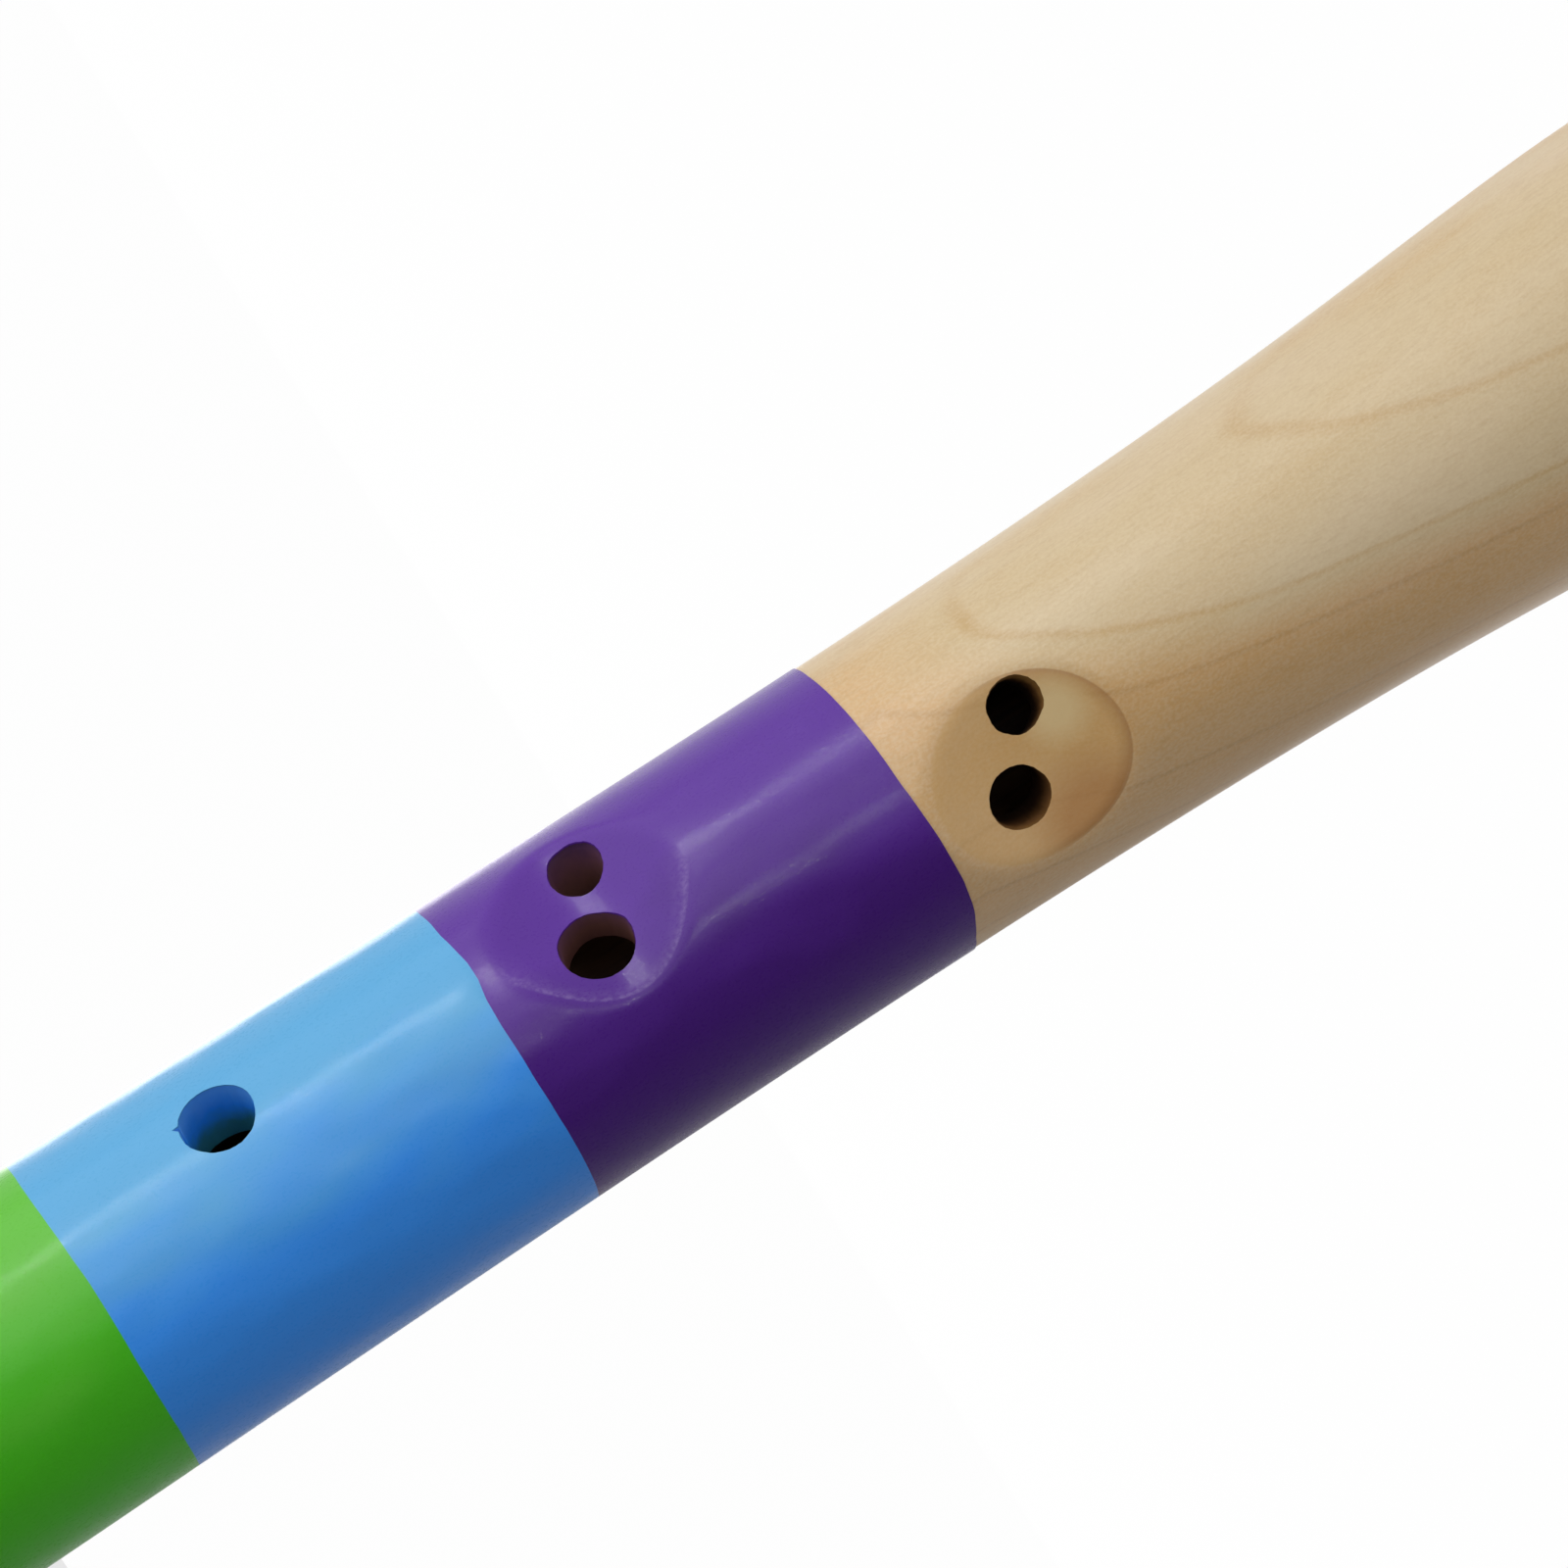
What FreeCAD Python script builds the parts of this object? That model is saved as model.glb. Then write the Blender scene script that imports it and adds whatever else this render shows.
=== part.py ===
# Soprano recorder in C, in two joints, standing on its foot.
# The finger holes face -Y, the thumb hole faces +Y and +Z runs to the mouthpiece.
# Lengths are millimetres, angles are degrees, heights are counted from the foot's end.

import FreeCAD, Part

import math
import os

# Lengths of the two joints and of the tenon between them
body_length = 225.0
head_length = 102.7
shoulder_gap = 0.3
tenon_length = 20.0
tenon_end_gap = 1.3

# Turned outside of the body joint; the shares are heights over its length
foot_radius = 12.1
foot_round = 1.5
bell_share = 0.0444
bell_radius = 11.66
flare_share = 0.0978
flare_radius = 10.74
neck_share = 0.1689
neck_radius = 9.98
waist_share = 0.2756
waist_radius = 9.6
grip_share = 0.3982
grip_radius = 9.76
taper_low_radius = 10.07
shoulder_radius = 11.9
shoulder_round = 0.6

# Bore of the body joint: straight at the foot, then widening to the tenon
foot_bore_radius = 4.7
foot_bore_length = 20.0
tenon_bore_radius = 6.2

# Socket of the head joint, the tenon in it and the tenon's cork ring
socket_radius = 9.0
socket_wall = 3.5
socket_chamfer = 0.6
tenon_play = 0.3
tenon_round = 0.5
cork_seat_depth = 0.8
cork_inset = 3.0
cork_clearance = 0.04
cork_round = 0.5

# Single finger holes and the thumb hole, with the shares of the body's length they lie at
thumb_hole_share = 0.9044
thumb_hole_diameter = 5.4
hole_1_share = 0.8689
hole_1_diameter = 4.8
hole_2_share = 0.7667
hole_2_diameter = 5.4
hole_3_share = 0.6644
hole_3_diameter = 5.2
hole_4_share = 0.5533
hole_4_diameter = 4.8
hole_5_share = 0.4489
hole_5_diameter = 4.5

# Two dishes, cut by one drum whose axis lies across the recorder
drum_radius = 13.2
dish_rim_round = 0.8
dish_6_share = 0.3436
dish_6_angle = 8.0
dish_6_depth = 1.9
dish_7_share = 0.2276
dish_7_angle = 51.5
dish_7_depth = 1.7

# Double holes in the floors of the dishes, placed from the middle of the dish
small_hole_across = 3.3
small_hole_lean_angle = 15.0
large_hole_across = 1.55
hole_6_small_diameter = 3.4
hole_6_small_below = 1.25
hole_6_large_diameter = 4.6
hole_6_large_above = 0.4
hole_7_small_diameter = 3.5
hole_7_small_below = 1.0
hole_7_large_diameter = 3.8
hole_7_large_above = 1.4

# Lacquer coats, as shares of the body's length from the lowest colour up
lacquer_coat = 0.08
bare_foot_share = 0.2596
purple_share = 0.1169
blue_share = 0.1213
green_share = 0.1133
yellow_share = 0.1133
orange_share = 0.1133
red_share = 0.1133

# Turned outside of the head joint; the shares are heights over its length
socket_end_round = 0.8
bead_height = 8.7
bead_proud = 0.9
bead_width = 3.0
swell_share = 0.299
swell_radius = 13.0
voicing_share = 0.591
voicing_radius = 12.3
tip_radius = 10.3
tip_round = 1.2

# Beak, cut hollow on the thumb side
beak_radius = 75.0
beak_tip_depth = 2.5
beak_centre_above_tip = 4.0

# Bore, windway, window and labium of the head joint
head_bore_radius = 6.5
windway_length = 40.0
windway_height = 1.1
windway_floor_depth = 0.5
window_width = 10.0
window_length = 4.0
labium_thickness = 0.3
ramp_length = 20.0

# Length by which a cutter passes the surface it cuts, and the limit for finding an edge
cutter_overrun = 2.0
same_place = 0.001

up = FreeCAD.Vector(0, 0, 1)
head_low = body_length + shoulder_gap
overall_length = head_low + head_length
taper_share = bare_foot_share + purple_share + blue_share
above_tip = overall_length + cutter_overrun
tenon_height = body_length + tenon_length
tenon_radius = socket_radius - tenon_play
socket_height = tenon_height + tenon_end_gap
socket_end_radius = socket_radius + socket_wall
cork_seat_radius = tenon_radius - cork_seat_depth
cork_low = body_length + cork_inset
cork_high = tenon_height - cork_inset
bead_radius = socket_end_radius + bead_proud
outside_radius = bead_radius + cutter_overrun
block_low = overall_length - windway_length
window_low = block_low - window_length
windway_floor_radius = head_bore_radius - windway_floor_depth
windway_roof_radius = windway_floor_radius + windway_height
dish_6_height = body_length * dish_6_share
dish_7_height = body_length * dish_7_share


def point(radius, height):
    return FreeCAD.Vector(radius, 0, height)


def rod(radius, low, high):
    return Part.makeCylinder(radius, high - low, point(0, low), up)


def cone(low_radius, high_radius, low, high):
    return Part.makeCone(low_radius, high_radius, high - low, point(0, low), up)


def turned(outline):
    """Solid turned about Z under edges that run from its low end to its high end."""
    low = outline[0].Vertexes[0].Point
    high = outline[-1].Vertexes[-1].Point
    low_centre = point(0, low.z)
    high_centre = point(0, high.z)
    closing = [Part.makeLine(high, high_centre), Part.makeLine(high_centre, low_centre)]
    closing.append(Part.makeLine(low_centre, low))
    return Part.Face(Part.Wire(outline + closing)).revolve(FreeCAD.Vector(), up)


def front_slot(width, low, high):
    """Upright block of space on the window side, between two heights."""
    corner = FreeCAD.Vector(-width / 2, -outside_radius, low)
    return Part.makeBox(width, outside_radius, high - low, corner)


def level_edges(solid, height):
    """Edges of a solid that lie in the level plane at a height."""
    found = []
    for edge in solid.Edges:
        box = edge.BoundBox
        if max(abs(box.ZMin - height), abs(box.ZMax - height)) < same_place:
            found.append(edge)
    return found


def outer_edge(solid, height, radius):
    """The round edge of one radius at one height."""
    found = []
    for edge in level_edges(solid, height):
        if abs(edge.BoundBox.XMax - radius) < same_place:
            found.append(edge)
    return found


def body_outline(coat):
    """Flared foot and waist on one curve, then a straight taper up to the shoulder."""
    stations = [(foot_radius, 0), (bell_radius, bell_share), (flare_radius, flare_share)]
    stations += [(neck_radius, neck_share), (waist_radius, waist_share)]
    stations += [(grip_radius, grip_share), (taper_low_radius, taper_share)]
    places = [point(radius + coat, body_length * share) for radius, share in stations]
    shoulder = point(shoulder_radius + coat, body_length)
    curve = Part.BSplineCurve()
    curve.interpolate(Points=places, InitialTangent=up, FinalTangent=shoulder - places[-1])
    return [curve.toShape(), Part.makeLine(places[-1], shoulder)]


def facing(turn):
    """Outward direction of a place turned from the front towards the player's right."""
    angle = math.radians(turn)
    return FreeCAD.Vector(-math.sin(angle), -math.cos(angle), 0)


def across(turn):
    """Direction along the surface, square to the one that faces outward there."""
    angle = math.radians(turn)
    return FreeCAD.Vector(-math.cos(angle), math.sin(angle), 0)


def drum(height, turn, depth, coat):
    """Drum that sands one dish, smaller by the coat that later lies in it."""
    out = waist_radius - depth + drum_radius
    centre = facing(turn) * out + up * height
    start = centre - across(turn) * outside_radius
    return Part.makeCylinder(drum_radius - coat, outside_radius * 2, start, across(turn))


def rim_edges(solid, height, turn):
    """Edges where a dish meets the turned outside."""
    found = []
    centre = facing(turn) * waist_radius + up * height
    for edge in solid.Edges:
        if edge.CenterOfMass.distanceToPoint(centre) < waist_radius / 2:
            found.append(edge)
    return found


def dished_body(coat):
    """Turned outside of the body joint with both dishes sanded into it."""
    solid = turned(body_outline(coat))
    dishes = [(dish_6_height, dish_6_angle, dish_6_depth)]
    dishes += [(dish_7_height, dish_7_angle, dish_7_depth)]
    for height, turn, depth in dishes:
        solid = solid.cut(drum(height, turn, depth, coat))
        solid = solid.makeFillet(dish_rim_round + coat, rim_edges(solid, height, turn))
    return solid


def drill(height, turn, diameter):
    """Drill for one hole, from the axis out through one wall."""
    return Part.makeCylinder(diameter / 2, outside_radius, up * height, facing(turn))


def large_drill(height, turn, diameter):
    """Drill for the large hole of a pair, square to the floor of its dish."""
    start = across(turn) * large_hole_across + up * height
    return Part.makeCylinder(diameter / 2, outside_radius, start, facing(turn))


def small_drill(height, turn, diameter, depth):
    """Drill for the small hole of a pair, leaning away from the large one."""
    angle = math.radians(small_hole_lean_angle)
    out = facing(turn) * math.cos(angle) - across(turn) * math.sin(angle)
    inside = (waist_radius - depth) * math.tan(angle) - small_hole_across
    start = across(turn) * inside + up * height
    return Part.makeCylinder(diameter / 2, outside_radius, start, out)


def single_drills():
    """Drills for the thumb hole and for finger holes 1 to 5."""
    drills = [drill(body_length * thumb_hole_share, 180, thumb_hole_diameter)]
    drills.append(drill(body_length * hole_1_share, 0, hole_1_diameter))
    drills.append(drill(body_length * hole_2_share, 0, hole_2_diameter))
    drills.append(drill(body_length * hole_3_share, 0, hole_3_diameter))
    drills.append(drill(body_length * hole_4_share, 0, hole_4_diameter))
    drills.append(drill(body_length * hole_5_share, 0, hole_5_diameter))
    return drills


def double_drills():
    """Drills for the pairs that make holes 6 and 7."""
    high = dish_6_height + hole_6_large_above
    drills = [large_drill(high, dish_6_angle, hole_6_large_diameter)]
    low = dish_6_height - hole_6_small_below
    drills.append(small_drill(low, dish_6_angle, hole_6_small_diameter, dish_6_depth))
    high = dish_7_height + hole_7_large_above
    drills.append(large_drill(high, dish_7_angle, hole_7_large_diameter))
    low = dish_7_height - hole_7_small_below
    drills.append(small_drill(low, dish_7_angle, hole_7_small_diameter, dish_7_depth))
    return drills


def body_bore():
    """Straight bore at the foot and a cone from there up through the tenon."""
    straight = rod(foot_bore_radius, -cutter_overrun, foot_bore_length)
    taper = cone(foot_bore_radius, tenon_bore_radius, foot_bore_length, tenon_height)
    open_end = rod(tenon_bore_radius, tenon_height, tenon_height + cutter_overrun)
    return straight.fuse([taper, open_end])


def make_tenon():
    """Tenon with the seat turned into it for the cork ring."""
    tenon = rod(tenon_radius, body_length - tenon_length, tenon_height)
    tenon = tenon.makeFillet(tenon_round, level_edges(tenon, tenon_height))
    seat = rod(tenon_radius + cutter_overrun, cork_low, cork_high)
    return tenon.cut(seat.cut(rod(cork_seat_radius, cork_low, cork_high)))


def make_body(dished):
    solid = dished.makeFillet(shoulder_round, outer_edge(dished, body_length, shoulder_radius))
    solid = solid.makeFillet(foot_round, outer_edge(solid, 0, foot_radius))
    solid = solid.fuse(make_tenon()).removeSplitter()
    return solid.cut([body_bore()] + single_drills() + double_drills())


def make_lacquer(dished, low, high):
    """Coat of one colour over a length of the body joint, open at the finger holes."""
    coated = dished_body(lacquer_coat)
    length = coated.common(rod(outside_radius, low, high))
    return length.cut([dished] + single_drills() + double_drills())


def make_cork():
    """Cork ring around the tenon, free to turn between the tenon and the socket."""
    low = cork_low + cork_clearance
    high = cork_high - cork_clearance
    outer = rod(socket_radius - cork_clearance, low, high)
    edges = level_edges(outer, low) + level_edges(outer, high)
    outer = outer.makeFillet(cork_round, edges)
    return outer.cut(rod(cork_seat_radius + cork_clearance, low, high))


def make_mouth_shape():
    """Outside of the head joint with the beak cut and its edges rounded."""
    stations = [(socket_end_radius, 0), (swell_radius, swell_share)]
    stations += [(voicing_radius, voicing_share), (tip_radius, 1)]
    curve = Part.BSplineCurve()
    curve.interpolate([point(radius, head_low + head_length * share) for radius, share in stations])
    solid = turned([curve.toShape()])
    away = beak_centre_above_tip
    reach = beak_tip_depth + math.sqrt(beak_radius ** 2 - away ** 2)
    start = FreeCAD.Vector(-outside_radius, reach, overall_length + away)
    sideways = FreeCAD.Vector(1, 0, 0)
    cutter = Part.makeCylinder(beak_radius, outside_radius * 2, start, sideways)
    solid = solid.cut(cutter)
    edges = level_edges(solid, overall_length)
    for edge in solid.Edges:
        if edge not in edges and edge.BoundBox.YMin > 0 and edge.BoundBox.ZMin > window_low:
            edges.append(edge)
    solid = solid.makeFillet(tip_round, edges)
    return solid


def add_bead(solid):
    """Turned bead around the socket end of the head joint."""
    low = head_low + bead_height - bead_width / 2
    bead = rod(bead_radius, low, low + bead_width)
    corners = level_edges(bead, low) + level_edges(bead, low + bead_width)
    bead = bead.makeFillet(bead_width / 3, corners)
    solid = solid.makeFillet(socket_end_round, outer_edge(solid, head_low, socket_end_radius))
    return solid.fuse(bead)


def head_bore():
    """Socket with a chamfered mouth, and the bore above it."""
    socket = rod(socket_radius, head_low - cutter_overrun, socket_height)
    mouth = cone(socket_radius + socket_chamfer, socket_radius, head_low, head_low + socket_chamfer)
    return rod(head_bore_radius, head_low, above_tip).fuse([socket, mouth])


def window_and_ramp():
    """Window through the wall and the ramp that rises from the labium below it."""
    window = front_slot(window_width, window_low, block_low)
    ramp_low = window_low - ramp_length
    slope = cone(outside_radius, head_bore_radius + labium_thickness, ramp_low, window_low)
    ramp = front_slot(window_width, ramp_low, window_low).cut(slope)
    return [window, ramp]


def windway():
    """Arched air channel above the block, from the tip to the window."""
    roof = rod(windway_roof_radius, block_low, above_tip)
    return roof.common(front_slot(window_width, block_low, above_tip))


def make_head(mouth_shape):
    head = add_bead(mouth_shape)
    return head.cut([head_bore(), windway()] + window_and_ramp())


def make_block(mouth_shape):
    """Cedar block that closes the head bore and forms the floor of the windway."""
    plug = rod(head_bore_radius, block_low, above_tip)
    channel = front_slot(window_width, block_low, above_tip)
    channel = channel.cut(rod(windway_floor_radius, block_low, above_tip))
    return mouth_shape.common(plug.cut(channel))


def make_pieces():
    dished = dished_body(0)
    mouth_shape = make_mouth_shape()
    pieces = {"body_joint": make_body(dished)}
    pieces["tenon_cork"] = make_cork()
    pieces["head_joint"] = make_head(mouth_shape)
    pieces["block"] = make_block(mouth_shape)
    bands = {"purple": purple_share, "blue": blue_share, "green": green_share}
    bands.update({"yellow": yellow_share, "orange": orange_share, "red": red_share})
    low = body_length * bare_foot_share
    for colour, share in bands.items():
        high = low + body_length * share
        pieces["lacquer_" + colour] = make_lacquer(dished, low, high)
        low = high
    return pieces


def main():
    os.makedirs("parts", exist_ok=True)
    for name, shape in make_pieces().items():
        shape.exportStep(os.path.join("parts", name + ".step"))
        print(name, len(shape.Solids), "solid, valid", shape.isValid(), round(shape.Volume, 1))


main()
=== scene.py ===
import math

import bmesh
import bpy
import numpy
from mathutils import Matrix, Vector, noise


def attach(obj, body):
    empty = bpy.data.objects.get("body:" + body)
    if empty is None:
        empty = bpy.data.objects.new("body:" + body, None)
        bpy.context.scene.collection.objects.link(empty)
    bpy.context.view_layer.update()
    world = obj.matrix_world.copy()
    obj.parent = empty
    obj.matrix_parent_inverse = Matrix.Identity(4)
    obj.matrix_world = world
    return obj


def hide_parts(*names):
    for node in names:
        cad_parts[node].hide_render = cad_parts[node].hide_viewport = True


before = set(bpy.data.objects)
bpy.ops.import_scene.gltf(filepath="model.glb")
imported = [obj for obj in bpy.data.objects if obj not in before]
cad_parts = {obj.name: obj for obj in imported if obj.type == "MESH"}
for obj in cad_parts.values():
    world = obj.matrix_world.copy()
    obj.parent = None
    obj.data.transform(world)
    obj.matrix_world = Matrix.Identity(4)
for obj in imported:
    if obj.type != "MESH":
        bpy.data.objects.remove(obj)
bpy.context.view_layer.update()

MM = 0.001

# Sizes of the recorder in millimetres, as the turned pieces have them
BODY_LENGTH = 225.0
TENON_TOP = 245.0
COAT = 0.08
FOOT_RADIUS = 12.1
FOOT_ROUND = 1.5
SHOULDER_RADIUS = 11.9
SHOULDER_ROUND = 0.6
TENON_RADIUS = 8.7
TENON_ROUND = 0.5
CORK_SEAT_RADIUS = 7.9
CORK_LOW = 228.0
CORK_HIGH = 242.0
FOOT_BORE_RADIUS = 4.7
FOOT_BORE_LENGTH = 20.0
FOOT_BORE_CHAMFER = 0.5
TENON_BORE_RADIUS = 6.2
TENON_BORE_CHAMFER = 0.3
HEAD_BORE_RADIUS = 6.5

# Slope of the straight taper from the green band up to the shoulder
TAPER = 0.0162

# Turning template of the foot and waist, up to the straight taper: height, radius, slope
TEMPLATE = [
    (0.0, FOOT_RADIUS, 0.0), (9.99, 11.66, -0.0726), (22.005, 10.74, -0.0688), (38.0, 9.98, -0.031),
    (62.01, 9.6, -0.003), (89.595, 9.76, 0.0116), (112.005, 10.07, TAPER),
    (BODY_LENGTH, SHOULDER_RADIUS, TAPER),
]

# Lacquer colours from the foot up, and the heights where they meet
BANDS = ["purple", "blue", "green", "yellow", "orange", "red"]
BAND_EDGES = [58.41, 84.7125, 112.005, 137.4975, 162.99, 188.4825, 213.975]

# How each masked edge wanders around the body: turn from the front in degrees, rise
EDGE_WANDER = [
    [(-31, 0.2), (5, 0.05), (33, 0.0), (49, -0.2), (73, -0.35), (89, -0.2), (105, 0.15), (150, 0.1),
     (220, -0.15)],
    [(-39, 0.0), (-15, 0.0), (1, -0.25), (9, -0.2), (17, 0.1), (27, 0.2), (47, 0.25), (75, 0.12),
     (150, -0.1)],
    [(-7, 0.12), (25, -0.05), (62, 0.1), (105, 0.08), (180, -0.15), (260, 0.05)],
    [(0, 0.1), (70, -0.1), (130, 0.05), (210, 0.15), (290, -0.15)],
    [(20, -0.15), (80, 0.1), (160, 0.15), (230, -0.05), (320, 0.05)],
    [(-20, 0.1), (50, 0.1), (120, -0.15), (190, 0.0), (280, 0.15)],
    [(10, -0.1), (90, 0.15), (170, 0.0), (250, -0.15), (330, 0.1)],
]

# The wander dies away over this height from its edge, and a finer one lies on top of it
WANDER_FADE = 3.0
FINE_WANDER = 0.03
FINE_WANDER_SCALE = 6.0

# How far the inner face of a coat lies in the wood, so that no gap shows at its edges
COAT_SUNK = 0.03

# Sanded dishes: height, turn, depth, half length, how much the ends ease out, rim softness
DISHES = [(77.0, 8.0, 1.74, 7.0, 2.0, 0.36), (51.65, 53.0, 1.74, 6.15, 1.0, 0.5)]

# A dish changes only what is within DISH_REACH of its height, more than DISH_SIDE out from
# the axis on its side, and part of the skin, which lies beyond SKIN_LEAST. The outer face
# of the skin begins SKIN_MARGIN inside its middle
DISH_REACH = 9.0
DISH_SIDE = 4.0
SKIN_LEAST = 8.9
SKIN_MARGIN = 0.01

# Finger holes and the thumb hole: height, turn, diameter, and the colour around them
SINGLE_HOLES = [
    (203.49, 180.0, 5.4, "red"), (195.5025, 0.0, 4.8, "red"), (172.5075, 0.0, 5.4, "orange"),
    (149.49, 0.0, 5.2, "yellow"), (124.4925, 0.0, 4.8, "green"), (101.0025, 0.0, 4.5, "blue"),
]

# Double holes: height, dish, diameter, offset across the dish, lean towards the middle
DOUBLE_HOLES = [
    (76.2, 0, 3.22, -3.17, 12.0, "purple"), (77.68, 0, 4.3, 1.62, 0.0, "purple"),
    (50.31, 1, 3.25, -3.4, 15.0, "bare"), (52.6, 1, 3.72, 1.34, 0.0, "bare"),
]

# Broken rim of a hole: how far below the surface it begins, and the steps in which the
# cutter widens from there, as rise and gain in radius. The last step ends in open air
RIM_DEPTH = 0.04
RIM_STEPS = [(0.1, 0.05), (3.0, 0.6)]

# How uneven a hole's edge is: size, fineness around the edge, and shift in the noise
HOLE_WANDER = [(0.06, 1.7, 0), (0.035, 8.0, 5)]

# Place in the noise where the edges of the double holes begin, clear of the single ones
FIRST_DOUBLE_SEED = 10

# Chip beside the hole in the blue band: turn around the hole, half width, both in
# degrees, and length in millimetres
CHIP_TURN = -20.0
CHIP_HALF_WIDTH = 2.5
CHIP_LENGTH = 0.35

# Sides of the turned pieces and the holes around their axes, and steps of a rounded edge
WOOD_SIDES = 216
COAT_SIDES = 240
HOLE_SIDES = 72
ROUND_STEPS = 6

# Spacing of the points along the axis. They lie closer within FINE_REACH of a dish's
# height, the last two lie at least LEAST_STEP apart, and points nearer to each other
# than MERGE_DISTANCE are one
WOOD_STEP = 1.6
COAT_STEP = 1.2
FINE_STEP = 0.24
FINE_REACH = 8.0
LEAST_STEP = 0.15
MERGE_DISTANCE = 0.01

# How far the outside's first and last points are from the rounded edges
FOOT_CLEAR = 0.4
SHOULDER_CLEAR = 0.1

# Points of the bore below its chamfer: depth of the first, their spacing, and their number
BORE_START = 12.0
BORE_STEP = 5.6
BORE_STEPS = 38

# Faces this close to the bore's wall take the bore's material
BORE_SKIN = 0.05

# Edges sharper than this stay sharp in the shading
SMOOTH_ANGLE = math.radians(35)

# Growth rings in the maple: the turn they face, how far they reach on both sides of the
# axis, how far out each one lies, and the size of their slow waves
RING_TURN = -8.7
RING_REACH = 14.0
RING_DEPTHS = [-11.3, -8.2, -4.4, 1.7, 4.1, 8.8]
RING_WAVE = 1.4

# Rings deeper than the first value below lie on the lit front of the wood and take paler
# colours, a painted highlight, and the rest take browner ones, painted shade. A ring's line
# darkens and fades over these shares of the span between the two reaches
LIT_FRONT_FROM = 3.0
LINE_BEFORE = 0.010
LINE_AFTER = 0.007

# Between these heights the rings lean outwards, by LEAN_START of the height above the
# lower one and by LEAN_GAIN of its square
LEAN_LOW = 12.0
LEAN_HIGH = 57.0
LEAN_START = 0.02
LEAN_GAIN = 0.0033

# Clouds in the maple are full and faint at these distances to the side of RING_TURN
CLOUDS_FULL = -4.0
CLOUDS_FAINT = -0.5

# The painted shade line on the lower dish's rim is full and gone at these heights
RIM_SHADE_FULL = 49.0
RIM_SHADE_GONE = 53.5

# The bore's darkening, partly oil and partly painted shade, is full and gone this far beyond the bore's
# radius
BORE_DARK_FULL = 0.05
BORE_DARK_GONE = 0.2

# A hole's wall is as dark as the bore and as bright as its rim this far from the axis
WALL_DARK = 5.5
WALL_BRIGHT = 10.5

# Patches on the lower dish's floor: a pale one, which is a painted highlight, and a dark one,
# where it cuts through a dark ring. Each has its turn, reach from the axis, height, distance
# where its colour begins and where it is full, strength, and colour
DISH_HIGHLIGHT_AND_RING_CUT = [
    # Painted highlight on the dish's floor
    (39.0, 8.5, 48.4, 2.6, 0.9, 1.5, "#ecd29c"),
    (86.0, 9.3, 48.8, 5.0, 2.2, 1.0, "#b16e2c"),
]

# Turn of the shaded side, where the lacquer takes a deeper colour as painted shade, and its gain for each
# millimetre
SHADED_SIDE_TURN = 90.0
SHADED_SIDE_GAIN = 0.05

# Lacquers: name, colour on the lit side, deeper colour painted on the shaded side as shade, and waviness
LACQUERS = {
    "purple": ("purple_lacquer", "#5f2fa0", "#4a1e80", 0.3),
    "blue": ("light_blue_lacquer", "#60b2e6", "#3f9aff", 0.7),
    "green": ("green_lacquer", "#66c63c", "#4bc222", 0.4),
    "yellow": ("yellow_lacquer", "#efc52a", "#efbb0c", 0.4),
    "orange": ("orange_lacquer", "#e9812a", "#e66f12", 0.4),
    "red": ("red_lacquer", "#cb2c2b", "#c21518", 0.4),
}

# Walls of the holes by the colour around them: near the rim, halfway, and near the bore. Their colours
# include painted shade, as little light reaches inside a hole
WALLS = {
    "purple": ("#4c2c52", "#70485a", "#7e564e"),
    "blue": ("#62b2ff", "#38a4fc", "#3f9296"),
    "green": ("#2f7a1a", "#27501a", "#2a2412"),
    "yellow": ("#a88310", "#6b5413", "#2f2210"),
    "orange": ("#a25012", "#643513", "#2d1c10"),
    "red": ("#8a1716", "#541714", "#2b1610"),
    "bare": ("#86602f", "#664422", "#352112"),
}

# Camera at the photograph's viewing angle: close, from the front on the player's
# right, looking a little down, and rolled so that the foot points to the upper right
PITCH = math.radians(8.66)
ROLL = math.radians(32.84)
TURN = 36.3
FOCAL_PIXELS = 7000.0
IMAGE_PIXELS = 1600.0
AIM_HEIGHT = 27.26
AIM_PIXEL = (1350.8, 534.6)
AIM_DEPTH = 402.7
SENSOR_WIDTH = 36.0
CLIP_START = 0.01

# Soft lights: name, turn around the axis from the camera's side, distance, width, height
# and power, in degrees, metres and watts. Each has its lower edge at LAMP_FOOT
LAMP_FOOT = 0.004
LAMPS = [
    ("key", -55, 0.35, 0.60, 0.70, 1.38), ("sheen", -50, 0.34, 0.15, 0.10, 0.06),
    ("low", -16, 0.34, 0.18, 0.04, 0.024), ("strip", -54, 0.33, 0.004, 0.10, 0.10),
    ("glint", -2.0, 0.33, 0.004, 0.03, 0.026), ("back", 180, 0.60, 0.70, 0.70, 2.7),
]

# Room around the recorder, in metres: the floor's size and the share of it that is seen
# plain white, and the strength of the light from all around
FLOOR_SIZE = 80.0
FLOOR_WHITE = 0.985
ROOM_LIGHT = 0.26

# Black card, in metres: distance from the axis, width, height, height of its middle, and
# where along its width it is still black and where it is grey
CARD_DISTANCE = 0.08
CARD_WIDTH = 2.80
CARD_HEIGHT = 0.50
CARD_MIDDLE = 0.25
CARD_BLACK = -0.048
CARD_GREY = 0.032


def linear(hex_colour):
    """sRGB hex colour as the linear colour that a shader takes."""
    shares = [int(hex_colour[i:i + 2], 16) / 255 for i in (1, 3, 5)]
    return tuple(s / 12.92 if s <= 0.04045 else ((s + 0.055) / 1.055) ** 2.4 for s in shares) + (1.0,)


def only(piece):
    """Leaves one object selected and active."""
    bpy.ops.object.select_all(action="DESELECT")
    piece.select_set(True)
    bpy.context.view_layer.objects.active = piece


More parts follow.
